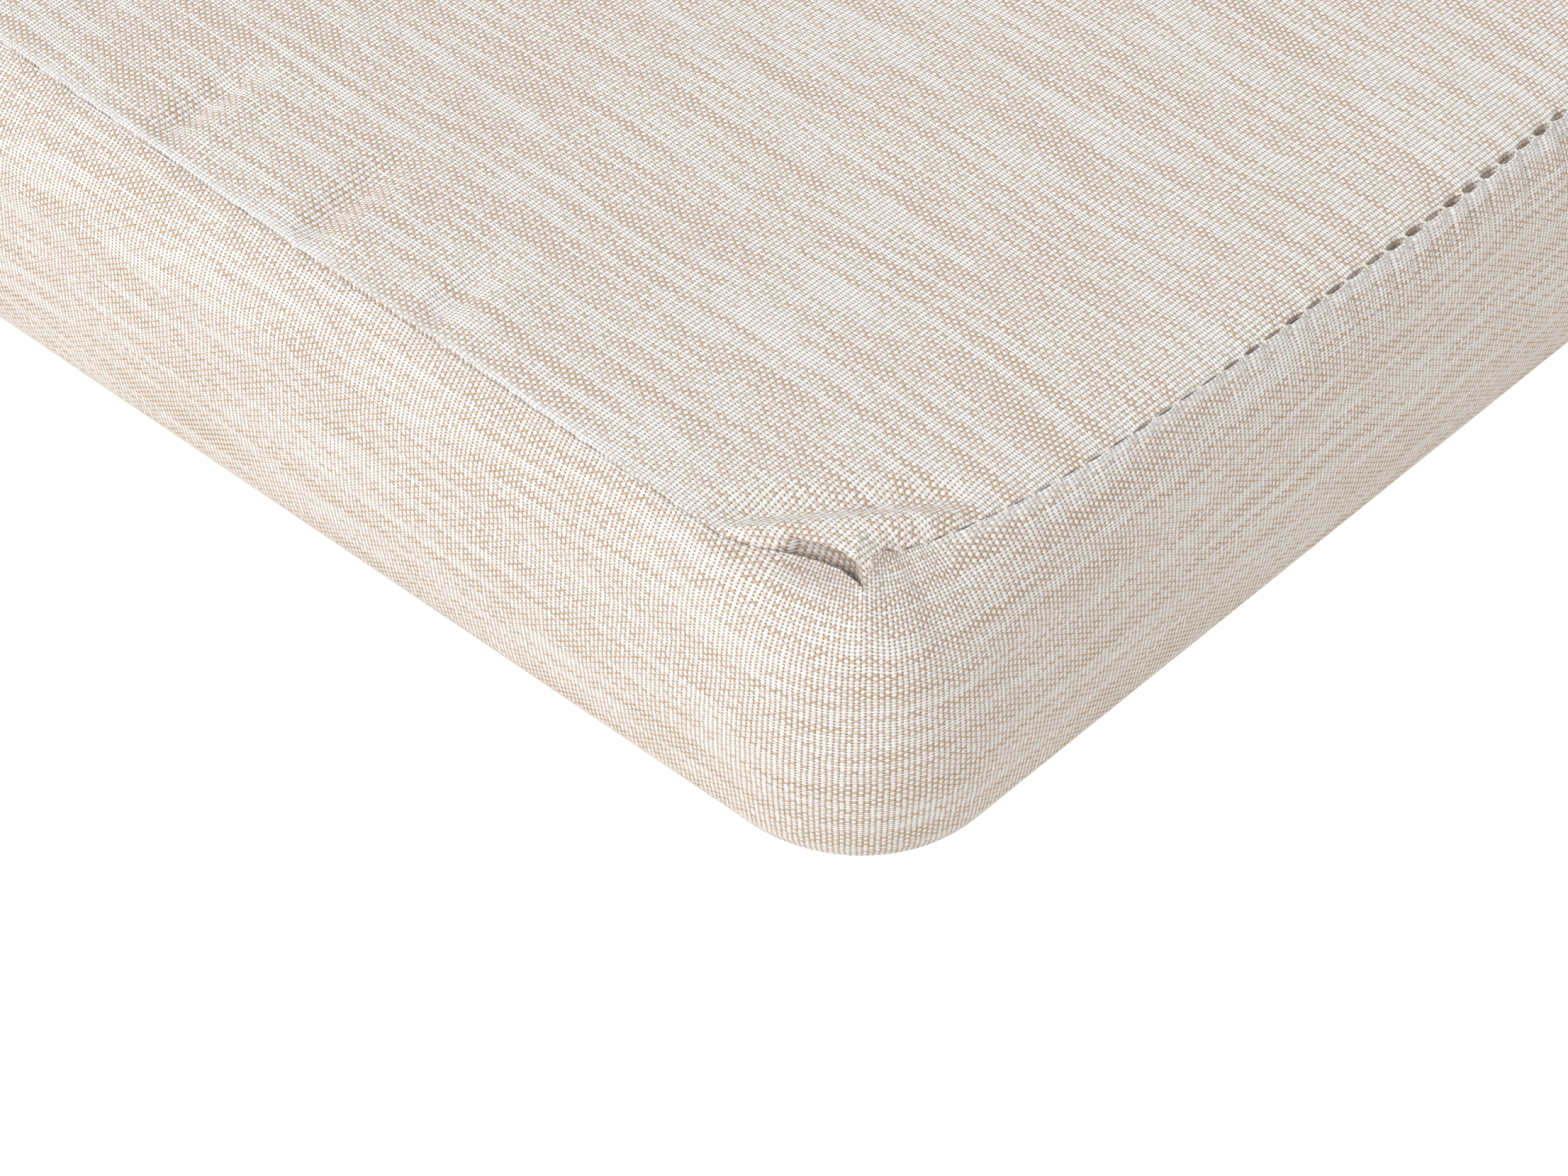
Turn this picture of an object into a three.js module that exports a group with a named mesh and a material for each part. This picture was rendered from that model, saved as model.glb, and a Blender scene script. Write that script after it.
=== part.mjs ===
import * as THREE from 'three';

// Sun lounger cushion: a one-piece box pad that lies on its flat underside.
// Millimetres, +Z up, +X along the pad. The origin is the middle of the underside.

// Plan
const padLength = 1900;
const padWidth = 600;
const cornerRadius = 22;
const sideDrawIn = 13; // each long side comes in this far at its two ends
const sideDrawInReach = 150;

// Side band, from the underside up
const baseRound = 7.5; // rounding where the side turns under
const sideBelly = 1; // the side stands out this far at half height
const shoulderDrop = 18; // height over which the side turns onto the top
const shoulderPower = 2.6; // it is steep at the seam and eases into the side
const edgeHeight = 49; // the seam line's height

// Sewn seam round the top panel
const seamInset = 4.2; // from the face of the side to the seam, at the corners
const seamSink = 1.6; // the seam's channel is this deep
const seamHalfWidth = 2.2;
const cornerPull = 5; // the seam is drawn in this far on both sides of a corner
const cornerPullAt = 18; // at this distance from the corner's point
const cornerDip = 1.2; // and it runs down this far at the point
const seamCornerRadius = 5; // the least radius, of the seam and the rings beside it

// Top panel
const crown = 7; // the middle stands this far above the edge
const crownReach = 75;
const innerRounding = 0.3; // a ring's corner radius for each millimetre that it lies inside
const largestInnerRadius = 40;

// Fineness
const cornerSteps = 8;
const longSteps = 24;
const shortSteps = 12;
const arcSteps = 5;
const crownInsets = [6, 14, 27, 46, 74, 112, 160, 215];

const saturate = (distance, reach) => 1 - Math.exp(-distance / reach);

// The stations round the pad: a turning arc at each corner, then the straight side after it.
// share runs from 0 to 1 along an arc or a side, and fromCorner is the distance along the side.
function makeStations() {
  const stations = [];
  for (let corner = 0; corner < 4; corner += 1) {
    const firstAngle = (corner - 1) * Math.PI / 2;
    for (let step = 0; step <= cornerSteps; step += 1) {
      const share = step / cornerSteps;
      const fromPoint = Math.abs(share - 0.5) * cornerRadius * Math.PI / 2;
      stations.push({ corner, onSide: false, share, angle: firstAngle + share * Math.PI / 2,
        fromCorner: 0, fromPoint });
    }
    const isLong = corner % 2 === 1;
    const steps = isLong ? longSteps : shortSteps;
    const straight = (isLong ? padLength : padWidth - 2 * sideDrawIn) - 2 * cornerRadius;
    for (let step = 1; step < steps; step += 1) {
      const share = (1 - Math.cos(step / steps * Math.PI)) / 2; // closer together at the ends
      const fromCorner = Math.min(share, 1 - share) * straight;
      const fromPoint = fromCorner + cornerRadius * Math.PI / 4;
      stations.push({ corner, onSide: true, share, angle: firstAngle + Math.PI / 2,
        fromCorner, fromPoint });
    }
  }
  return stations;
}

const cornerSigns = [[1, -1], [1, 1], [-1, 1], [-1, -1]];

// The plan position of a station on the rounded rectangle that lies this far inside the face
function planPoint(station, inset) {
  const innerRadius = Math.min(innerRounding * inset, largestInnerRadius);
  const radius = Math.max(cornerRadius - inset, seamCornerRadius, innerRadius);
  const halfX = padLength / 2 - inset - radius;
  const halfY = padWidth / 2 - sideDrawIn - inset - radius;
  const arcEnd = (corner, angle) => new THREE.Vector2(
    cornerSigns[corner][0] * halfX + radius * Math.cos(angle),
    cornerSigns[corner][1] * halfY + radius * Math.sin(angle),
  );
  const point = arcEnd(station.corner, station.angle);
  if (station.onSide) {
    point.lerp(arcEnd((station.corner + 1) % 4, station.angle), station.share);
  }
  return point;
}

// How far the top panel stands above its edge: a dome that is nearly flat in the middle
function crownAt(x, y) {
  const fromEnd = Math.max(padLength / 2 - seamInset - Math.abs(x), 0);
  const fromSide = Math.max(padWidth / 2 - sideDrawIn - seamInset - Math.abs(y), 0);
  return crown * saturate(fromEnd, crownReach) * saturate(fromSide, crownReach);
}

// One point of the surface. bulge is the share of the side's bulge that it takes.
function surfacePoint(station, { inset, height, bulge, onTop }) {
  const outward = new THREE.Vector2(Math.cos(station.angle), Math.sin(station.angle));
  const comesOut = sideDrawIn * saturate(station.fromCorner, sideDrawInReach) * outward.y ** 2;
  const { x, y } = planPoint(station, inset).addScaledVector(outward, comesOut * bulge);
  return [x, y, onTop ? height + crownAt(x, y) : height];
}

function edgeHeightAt(station) {
  const dip = cornerDip * Math.exp(-((station.fromPoint / cornerPullAt) ** 2));
  return edgeHeight - dip;
}

function seamInsetAt(station) {
  const beside = station.fromPoint / cornerPullAt;
  return seamInset + cornerPull * beside * Math.exp(1 - beside);
}

// The section of the cushion at a station, from the rim of the underside to the crown
function makeSection(station) {
  const edge = edgeHeightAt(station);
  const seam = seamInsetAt(station);
  const section = [];
  for (let step = 0; step <= arcSteps; step += 1) {
    const angle = step / arcSteps * Math.PI / 2;
    const inset = baseRound * (1 - Math.sin(angle));
    section.push({ inset, height: baseRound * (1 - Math.cos(angle)), bulge: 1 });
  }
  const shoulderFoot = edge - shoulderDrop;
  section.push({ inset: -sideBelly, height: (baseRound + shoulderFoot) / 2, bulge: 1 });
  for (let step = 0; step <= arcSteps; step += 1) {
    const share = step / arcSteps;
    const over = share ** shoulderPower;
    const height = shoulderFoot + shoulderDrop * share;
    section.push({ inset: (seam - seamHalfWidth) * over, height, bulge: 1 - over });
  }
  section.push({ inset: seam, height: edge - seamSink, bulge: 0 });
  section.push({ inset: seam + seamHalfWidth, height: edge, bulge: 0 });
  for (const further of crownInsets) {
    const inset = seam + seamHalfWidth + further;
    section.push({ inset, height: edge, bulge: 0, onTop: true });
  }
  return section;
}

// Closes the rings of points into one solid, with a fan over the underside and the crown
function makeCushionGeometry() {
  const stations = makeStations();
  const sections = stations.map(makeSection);
  const rings = sections[0].length;
  const positions = [];
  for (let ring = 0; ring < rings; ring += 1) {
    stations.forEach((station, index) => {
      positions.push(...surfacePoint(station, sections[index][ring]));
    });
  }
  const count = stations.length;
  const underMiddle = rings * count;
  const crownMiddle = underMiddle + 1;
  positions.push(0, 0, 0);
  positions.push(0, 0, edgeHeight + crown);

  const faces = [];
  for (let index = 0; index < count; index += 1) {
    const next = (index + 1) % count;
    faces.push(underMiddle, next, index);
    for (let ring = 0; ring < rings - 1; ring += 1) {
      const low = ring * count;
      const high = low + count;
      faces.push(low + index, low + next, high + next);
      faces.push(low + index, high + next, high + index);
    }
    const last = (rings - 1) * count;
    faces.push(last + index, last + next, crownMiddle);
  }
  const geometry = new THREE.BufferGeometry();
  geometry.setAttribute('position', new THREE.Float32BufferAttribute(positions, 3));
  geometry.setIndex(faces);
  geometry.computeVertexNormals();
  return geometry;
}

const slubCanvas = new THREE.MeshStandardMaterial({ color: 0xe3dacd, roughness: 0.9, metalness: 0 });

const cushion = new THREE.Mesh(makeCushionGeometry(), slubCanvas);
cushion.name = 'cushion_pad';

const lounger = new THREE.Group();
lounger.name = 'sun_lounger_cushion';
lounger.add(cushion);

export default lounger;
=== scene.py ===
import math

import bpy
import numpy as np
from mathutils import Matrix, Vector


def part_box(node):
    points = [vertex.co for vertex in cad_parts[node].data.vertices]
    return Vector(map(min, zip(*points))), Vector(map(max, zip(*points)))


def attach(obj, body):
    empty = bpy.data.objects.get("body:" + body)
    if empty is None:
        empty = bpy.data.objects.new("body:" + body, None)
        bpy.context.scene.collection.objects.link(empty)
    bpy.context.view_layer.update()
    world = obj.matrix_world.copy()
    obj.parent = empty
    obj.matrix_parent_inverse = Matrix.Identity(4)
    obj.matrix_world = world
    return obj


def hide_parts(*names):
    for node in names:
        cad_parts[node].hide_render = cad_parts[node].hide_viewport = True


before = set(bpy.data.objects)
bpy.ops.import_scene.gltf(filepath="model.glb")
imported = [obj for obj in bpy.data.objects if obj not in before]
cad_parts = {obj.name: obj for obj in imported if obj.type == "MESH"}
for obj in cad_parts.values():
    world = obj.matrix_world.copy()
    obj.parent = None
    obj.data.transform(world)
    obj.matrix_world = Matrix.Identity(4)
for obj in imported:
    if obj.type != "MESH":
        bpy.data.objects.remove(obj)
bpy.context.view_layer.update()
print("frame loaded")

mm = 0.001
rng = np.random.default_rng(4)

# Sizes of the pad, in millimetres. Its length and width are those of the CAD box.
padHigh = np.array(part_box("cushion_pad")[1]) / mm
pad = {
    "belly": 1.0,  # the band stands out this far at half height
    "drawIn": 13.0,  # the long sides lie this far in at the corners
    "cornerRadius": 22.0,
    "endSeamIn": 3.5,  # from the face of a short end to where its seam would run if not drawn in
    "sideSeamIn": 1.9,  # and from the face of a long side, at the corners
    "sideStart": 12.0,  # from this far beside the end's face on, the long sides lean out
    "sideStartWidth": 5.0,
    "sideSlope": 0.052,
    "sideStraight": 190.0,
    "sideEase": 140.0,  # and then turn parallel over this distance
    "edgeHeight": 49.0,
    "shoulderDrop": 18.0,
    "shoulderPower": 2.6,  # the shoulder is steep at the seam and eases into the face
    "shiftReach": 28.0,  # the band's columns come to stand below the seam's over this distance
    "baseRound": 7.5,
    "baseSeamIn": 9.7,
    "baseGroove": 1.1,
    "crown": 7.0,
    "crownReach": 75.0,
    "puff": 0.9,  # the top rises this much just inside its seam
    "puffReach": 4.0,
    "calmReach": 30.0,  # near the seam the top is evener
    "waviness": 0.35,  # slow unevenness of the top
    "waveCount": 9,
    "waveLength": (60, 170),
}
pad["endFace"] = padHigh[0] - pad["belly"]
pad["sideFace"] = padHigh[1] - pad["belly"] - pad["drawIn"]  # at the corners
pad["seamX"] = pad["endFace"] - pad["endSeamIn"]
pad["seamY"] = pad["sideFace"] - pad["sideSeamIn"]

# The sewn seam, in millimetres
seam = {
    "stitch": 4.3,
    "depth": (1.5, 0.4),  # of the slot between two stitches, at the ends and along the sides
    "roll": (0.6, 0.26),  # radius of the turned edges
    "closed": 0.12,  # depth of the groove at a stitch
    "tightGap": 0.04,
    "gap": (0.55, 0.01),  # half the width of the slot
    "slotSize": (0.55, 1.3),  # one slot differs from the next by this factor
    "endOpen": (0.45, 0.75),  # the slot's share of a stitch, near the corner and far from it
    "endOpenReach": (25, 110),
    "endWiden": (35, 135),  # the slots grow wider between these distances from the corner
    "sideOpen": 0.8,
    "endFlush": (6.5, 9.5),  # nearer to the corner than this, the seam is closed flush
    "sideFlush": (0.0, 2.5),
    # painted shade in the slots between stitches, at the ends and along the sides
    "endSlotShade": 0.9,
    "sideSlotShade": (0.3, 0.6),  # far from the corner and near it
    "sideSlotShadeReach": (60, 25),
    "pale": 0.5,  # white yarns and a painted highlight in the raised edge: the top's on the long sides, the band's at the ends
    "sidePaleReach": (25, 60),
    "endPaleReach": (12, 30),
    "sideShadow": 0.35,  # painted shade: the first rows of the band under a long side's seam are painted darker
    "pucker": 0.42,  # each stitch pulls the top's edge down this far
    "puckerReach": 3.2,
    "puckerGrows": (30, 120),
    "sidePucker": 0.1,
    "bandPucker": 0.1,
    "bandPuckerReach": 1.5,
    "sideLift": 0.3,  # the turned edge stands up along the long sides
    "sideLiftFrom": (24, 40),
    "sideLiftWidth": 1.1,
    "columns": (8, 4, 2),  # of the mesh to a stitch: near the shown corner, at the others, and elsewhere
    "fineSide": 168.0,  # the finest mesh reaches this far along the side and across the end
    "fineEnd": 142.0,
    "fineOthers": 40.0,
}

# The drawn-in corners, in millimetres from the corner of the undisturbed seam:
# a is measured along X and b along Y, both inwards.
corner = {
    "apexIn": (8.0, 8.4),  # the corner's point is drawn in this far, along a and b
    "apexReach": 13.0,
    "chord": (0.77, 0.64),  # across the crest of the fold
    "crestAt": 20.9,
    "crestFrom": (-19.0, -9.0),
    "crestTo": (20.0, 10.0),
    "droop": 0.14,  # slope of the seam from the crest down to the corner's point
    "droopWidth": 1.6,
    "crest": 1.0,
    "crestWidth": 2.0,
    "dip": 1.5,
    "dipAt": 25.2,
    "dipWidth": 2.1,
    "facet": 1.8,  # the cloth in front of the crest lies this far above the seam
    "facetFrom": (23.5, 15.5),
    "facetInside": (-0.4, 2.4),
    "rounding": 8,  # passes of smoothing over the ridge at the corner's point
    "ridge": 0.18,  # down the band from the corner's point
    "ridgeWidth": 1.6,
    "valley": 0.3,  # and beside it, running towards it
    "valleyAt": 9.5,
    "valleyTurn": 8.0,
    "valleyWidth": 1.9,
    "foldStart": (0.0, 1.6),
    "pocketFrom": (0.2, 3.4),  # the pocket begins and ends at these distances along the long side
    "pocketTo": (19.5, 15.5),
    "hole": 3.0,  # the pocket is this much deeper beside the corner's point
    "holeAt": 3.0,
    "holeWidth": 5.0,
    "endRise": 1.3,  # on the short end, the seam is lifted this much beside the corner's point
    "endRiseFrom": (0.2, 4.0),
    "endRiseTo": (13, 8),
    "endRiseInside": (3.0, 0.0),
}

# How far the seam is drawn in beside a corner, in millimetres: an end's seam at b, a side's at a
drawn = {
    "endPeakAt": 13.6,
    "endPeak": 9.0,
    "endFade": 16.0,
    "endRest": 1.1,
    "endSlow": 0.3,
    "endSlowFade": 30.0,
    "endTip": 3.1,  # less again between the peak and the corner's point
    "endTipReach": 6.1,
    "endFar": 1.5,  # and more far from the corner
    "endFarReach": (112.0, 170.0),
    "sidePeak": 6.9,
    "sidePeakReach": (28.0, 11.0),
    "sideRest": 1.6,
    "sideSlow": 0.4,
    "sideSlowFrom": 30.0,
    "sideSlowFade": 20.0,
    "sideTip": 0.5,
    "sideTipFrom": 9.5,
    "sideFar": 0.6,
    "sideFarReach": (60.0, 110.0),
    "fade": 45.0,  # the panel follows its seam less and less over this distance
}

# The pocket under the fold, row by row from the seam inwards, as distances and heights in millimetres
pocketRows = {
    "places": [(0.0, -2.2), (0.35, -2.1), (0.9, -1.5), (1.5, -0.75), (2.05, 0.0), (2.45, 0.6),
               (2.5, 1.15), (2.0, 1.35), (1.3, 1.75), (1.5, 2.15), (2.5, 2.35), (4.0, 2.4)],
    "share": [1.0] * 10 + [0.85, 0.55],  # each row is drawn this much towards its place
    # painted shade in the pocket under the fold, row by row
    "shade": [1.0, 0.95, 0.75, 0.45, 0.3, 0.35, 0.5, 0.45, 0.15, 0.0, 0.0, 0.0],
    "deeper": [0.6, 0.9, 1.0, 1.0, 0.8, 0.4, 0.1] + [0.0] * 5,  # beside the corner's point
}
cornerSigns = [(1, -1), (1, 1), (-1, 1), (-1, -1)]
cornerStrength = [1.0, 0.86, 0.93, 0.8]  # the shown corner is the first


def smooth(x):
    x = np.clip(x, 0.0, 1.0)
    return x * x * (3 - 2 * x)


def ramp(x, start, end):
    return smooth((x - start) / (end - start))


def saturate(x, reach):
    return 1 - np.exp(-np.maximum(x, 0) / reach)


def softPositive(x, width):
    return width * np.logaddexp(0, x / width)


def bell(x, middle, width):
    return np.exp(-((x - middle) / width) ** 2)


def sideBulge(u):
    # how far a long side stands out, u millimetres from the end's face
    start = softPositive(u - pad["sideStart"], pad["sideStartWidth"])
    straight = np.minimum(start, pad["sideStraight"])
    eased = np.clip(start - pad["sideStraight"], 0, pad["sideEase"])
    return pad["sideSlope"] * (straight + eased - eased ** 2 / (2 * pad["sideEase"]))


def stripLength(isLong):
    # length of the band from the middle of one corner to the next
    half = pad["endFace"] if isLong else pad["sideFace"]
    return 2 * half - (2 - math.pi / 2) * pad["cornerRadius"]


def makeStations():
    # one station for each column of the mesh, counterclockwise from the corner behind on the left
    columns = {"corner": [], "begin": [], "forward": [], "isLong": [], "along": [], "phase": []}
    half = {True: pad["seamX"], False: pad["seamY"]}
    order = [(2, 3, False), (3, 0, True), (0, 1, False), (1, 2, True)]  # the corners of each side
    finest, finer, plain = seam["columns"]
    begin = 0.0
    for first, second, isLong in order:
        length = 2 * half[isLong]
        stitches = 2 * round(length / seam["stitch"] / 2)
        strip = stripLength(isLong)
        for stitch in range(stitches):
            middle = (stitch + 0.5) * length / stitches
            reach = seam["fineSide"] if isLong else seam["fineEnd"]
            count = plain
            if min(middle, length - middle) < seam["fineOthers"]:
                count = finer
            if (first == 0 and middle < reach) or (second == 0 and length - middle < reach):
                count = finest
            for step in range(count):
                along = (stitch + step / count) * length / stitches
                forward = along < length / 2
                own = (first, begin, 1.0) if forward else (second, begin + strip, -1.0)
                values = (*own, isLong, min(along, length - along), step / count)
                for name, value in zip(columns, values):
                    columns[name].append(value)
        begin += strip
    stations = {name: np.array(values) for name, values in columns.items()}
    stations["signX"], stations["signY"] = np.array(cornerSigns)[stations["corner"]].T
    stations["strength"] = np.array(cornerStrength)[stations["corner"]]
    return stations


def endSeamAt(b):
    # how far a short end's seam is drawn in, b millimetres from the corner
    tail = np.maximum(b - drawn["endPeakAt"], 0)
    tip = np.maximum(drawn["endPeakAt"] - b, 0)
    depth = drawn["endPeak"] * np.exp(-tail / drawn["endFade"]) + drawn["endRest"]
    depth = depth + drawn["endSlow"] * np.exp(-tail / drawn["endSlowFade"])
    depth = depth + drawn["endFar"] * ramp(b, *drawn["endFarReach"])
    return depth - drawn["endTip"] * (tip / drawn["endTipReach"]) ** 1.3


def seamPull(along, isLong):
    # the drawn-in seam's own place (a, b) for a point at this distance from the corner
    apexA, apexB = corner["apexIn"]
    bunch = np.exp(-(along / corner["apexReach"]) ** 1.5)
    longA = along + apexA * bunch
    slow = np.exp(-np.maximum(longA - drawn["sideSlowFrom"], 0) / drawn["sideSlowFade"])
    longB = drawn["sideRest"] + drawn["sideSlow"] * slow
    longB = longB + drawn["sidePeak"] * ramp(longA, *drawn["sidePeakReach"])
    longB = longB - drawn["sideTip"] * ramp(longA, drawn["sideTipFrom"], apexA)
    longB = longB - drawn["sideFar"] * ramp(longA, *drawn["sideFarReach"])
    shortB = along + apexB * bunch
    return np.where(isLong, longA, endSeamAt(shortB)), np.where(isLong, longB, shortB)


def pulledPlace(flatA, flatB, strength):
    # where a point of the flat panel comes to lie once the corner is drawn in
    distance = np.hypot(flatA, flatB)
    longShare = flatA ** 2 / np.maximum(distance ** 2, 1e-9)
    longA, longB = seamPull(distance, True)
    shortA, shortB = seamPull(distance, False)
    fade = np.exp(-np.minimum(flatA, flatB) / drawn["fade"])
    moveA = longShare * (longA - distance) + (1 - longShare) * shortA
    moveB = longShare * longB + (1 - longShare) * (shortB - distance)
    return flatA + strength * fade * moveA, flatB + strength * fade * moveB


def chordPlace(a, b):
    # distance from the corner towards the crest, and along it
    acrossA, acrossB = corner["chord"]
    return acrossA * a + acrossB * b, acrossA * b - acrossB * a


def edgeHeight(a, b, strength):
    # height of the seam, and of the panel before it is crowned
    chord, _ = chordPlace(a, b)
    droop = corner["droop"] * softPositive(corner["crestAt"] - chord, corner["droopWidth"])
    return pad["edgeHeight"] - strength * droop


def foldHeight(a, b, strength):
    # the crest across the corner, the hollow behind it and the facet in front of it
    chord, sideways = chordPlace(a, b)
    ends = ramp(sideways, *corner["crestFrom"]) * ramp(sideways, *corner["crestTo"])
    crest = corner["crest"] * bell(chord, corner["crestAt"], corner["crestWidth"])
    dip = corner["dip"] * bell(chord, corner["dipAt"], corner["dipWidth"])
    inside = ramp(a - endSeamAt(b), *corner["facetInside"])
    facet = corner["facet"] * ramp(chord, *corner["facetFrom"]) * inside
    return strength * (ends * (crest - dip) + facet)


trough = {  # shallow cross troughs that start at the long seams, in millimetres
    "shown": [(82.5, 15, 1.1), (108.0, 20, 1.5), (139.0, 20, 1.4)],  # from the end, length and depth
    "others": {"front": 166.0, "back": 45.0},  # from here on they are random, along each long side
    "length": (9, 20),
    "depth": (0.15, 0.45),
    "spacing": (24, 46),
    "width": 2.6,
    "slant": 0.05,
    "ridge": 0.35,  # share of the depth by which the cloth rises beside a trough
    "ridgeAt": -6.0,
    "ridgeWidth": 3.0,
    "start": (1, 7),
    "fade": 6,
}


def makeTroughs():
    troughs = [("front", *shown) for shown in trough["shown"]]
    for side, place in trough["others"].items():
        while place < 2 * pad["seamX"] - 40:
            troughs.append((side, place, rng.uniform(*trough["length"]), rng.uniform(*trough["depth"])))
            place += rng.uniform(*trough["spacing"])
    return troughs


troughs = makeTroughs()


def troughDepth(x, y):
    depth = np.zeros(np.shape(x))
    for side, place, length, most in troughs:
        fromSeam = pad["seamY"] + (y if side == "front" else -y)
        along = pad["seamX"] - x - place - trough["slant"] * fromSeam
        ridge = trough["ridge"] * bell(along, trough["ridgeAt"], trough["ridgeWidth"])
        ends = ramp(fromSeam, length + trough["fade"], length - trough["fade"])
        depth += most * (bell(along, 0, trough["width"]) - ridge) * ends * ramp(fromSeam, *trough["start"])
    return depth


def makeWaves():
    # length, heading and start of each
    turns = (0, math.tau)
    kinds = (pad["waveLength"], turns, turns)
    return [[rng.uniform(*kind) for kind in kinds] for _ in range(pad["waveCount"])]


waves = makeWaves()


def slowWaves(x, y):
    height = np.zeros(np.shape(x))
    for length, heading, start in waves:
        height += np.sin(math.tau * (x * math.cos(heading) + y * math.sin(heading)) / length + start)
    return height / math.sqrt(len(waves))


# Rows of the band over the shoulder, as shares of its height, and down the face
shoulderShares = (0.035, 0.08, 0.14, 0.22, 0.32, 0.44, 0.58, 0.78, 1.0)
faceSteps = 5

# Insets of the top's rings from its turned edge: near a corner, and further along a side
ringsNear = [0.6, 1.3, 2.1, 3.0, 4.0, 5.0, 6.2, 7.5, 8.8, 10.2, 11.6, 13.0, 14.5, 16.0, 17.8, 20, 23,
             27, 33, 42, 55, 75, 100, 130, 165, 200, 235, 262]
ringsFar = [0.7, 1.5, 2.5, 3.8, 5.2, 7.0, 9.2, 11.8, 15, 18.5, 22.5, 27, 32, 38, 45, 53, 62,
            72, 84, 98, 113, 130, 148, 168, 190, 213, 237, 262]


def openness(phase):
    # 0 at a stitch, 1 midway between two
    return np.sin(np.pi * phase) ** 1.2


def slotAt(phase, openShare):
    # 0 where a stitch holds the seam closed, 1 in the slot between two, with soft ends
    return ramp(2 * np.minimum(phase, 1 - phase), 0.85 - openShare, 1.2 - openShare)


def seamShape(st):
    # the slots, the lift of the turned edge and the puckers at each station, and the painted shade of the
    # slots and the pocket
    isLong, along, strength = st["isLong"], st["along"], st["strength"]
    endGap, sideGap = seam["gap"]
    endDepth, sideDepth = seam["depth"]
    endRoll, sideRoll = seam["roll"]
    nearOpen, farOpen = seam["endOpen"]
    farSlotShade, nearSlotShade = seam["sideSlotShade"]
    between = openness(st["phase"])
    endOpen = nearOpen + (farOpen - nearOpen) * ramp(along, *seam["endOpenReach"])
    slot = slotAt(st["phase"], np.where(isLong, seam["sideOpen"], endOpen))
    stitch = np.cumsum(st["phase"] == 0) - 1
    slot = slot * np.clip(rng.uniform(*seam["slotSize"], stitch[-1] + 1), 0, 1)[stitch]
    widen = 0.1 + 0.9 * ramp(along, *seam["endWiden"])
    flush = np.where(isLong, ramp(along, *seam["sideFlush"]), ramp(along, *seam["endFlush"]))
    opened = 0.05 + 0.95 * flush
    gap = opened * (seam["tightGap"] + np.where(isLong, sideGap, endGap * widen) * slot)
    pocket = ramp(along, *corner["pocketFrom"]) * ramp(along, *corner["pocketTo"])
    pocket = np.where(isLong, pocket, 0.0) * strength
    deep = np.maximum(slot, pocket)
    deepest = np.where(isLong, sideDepth + (endDepth - sideDepth) * pocket, endDepth)
    depth = opened * (seam["closed"] + (deepest - seam["closed"]) * deep)
    sideSlotShade = farSlotShade + (nearSlotShade - farSlotShade) * ramp(along, *seam["sideSlotShadeReach"])
    # dark is the painted shade of the slots and the pocket
    dark = np.where(isLong, np.maximum(sideSlotShade * slot, pocket), seam["endSlotShade"] * slot)
    dark = opened * (0.05 + 0.95 * dark)
    endPucker = seam["pucker"] * (0.7 + 0.3 * ramp(along, *seam["puckerGrows"]))
    drop = np.where(isLong, seam["sidePucker"], endPucker) * (1 - between) * (1 - pocket) * opened
    rise = corner["endRise"] * ramp(along, *corner["endRiseFrom"]) * ramp(along, *corner["endRiseTo"])
    rise = np.where(isLong, 0.0, rise) * strength
    lift = np.where(isLong, seam["sideLift"] * ramp(along, *seam["sideLiftFrom"]), 0.0)
    turned = opened * (0.35 + 0.65 * deep) * np.where(isLong, 1.0, 0.55 + 0.45 * widen)
    roll = np.where(isLong, sideRoll, endRoll) * turned
    return {"gap": gap, "depth": depth, "roll": roll, "drop": drop, "lift": lift, "pocket": pocket,
            "rise": rise, "dark": dark}


def flatPlace(st, inset):
    # a station's point (a, b) on the flat panel, this far in from the seam.
    # The power keeps the columns straight near the seam and draws them together further in.
    half = np.where(st["isLong"], pad["seamX"], pad["seamY"])
    power = np.maximum(1.0, 0.83 * half / np.maximum(inset, 0.05))
    along = st["along"] + inset * np.maximum(1 - st["along"] / half, 0) ** power
    return np.where(st["isLong"], along, inset), np.where(st["isLong"], inset, along)


def toWorld(st, a, b, height):
    x = st["signX"] * (pad["seamX"] - a)
    y = st["signY"] * (pad["seamY"] - b)
    return np.stack([x, y, height + 0 * x], -1)


def roundCorners(st, rows, first, last):
    # rounds off the ridge that rows of points make where the two sides of a corner meet
    near = ramp(st["along"], 5.0, 1.5)
    for index in range(first, last):
        points = rows[index]["points"]
        share = (near * min((index - first + 1) / 4, 1))[:, None]
        for _ in range(corner["rounding"]):
            average = (np.roll(points, 1, 0) + points + np.roll(points, -1, 0)) / 3
            points = points + share * (average - points)
        rows[index]["points"] = points


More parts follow.
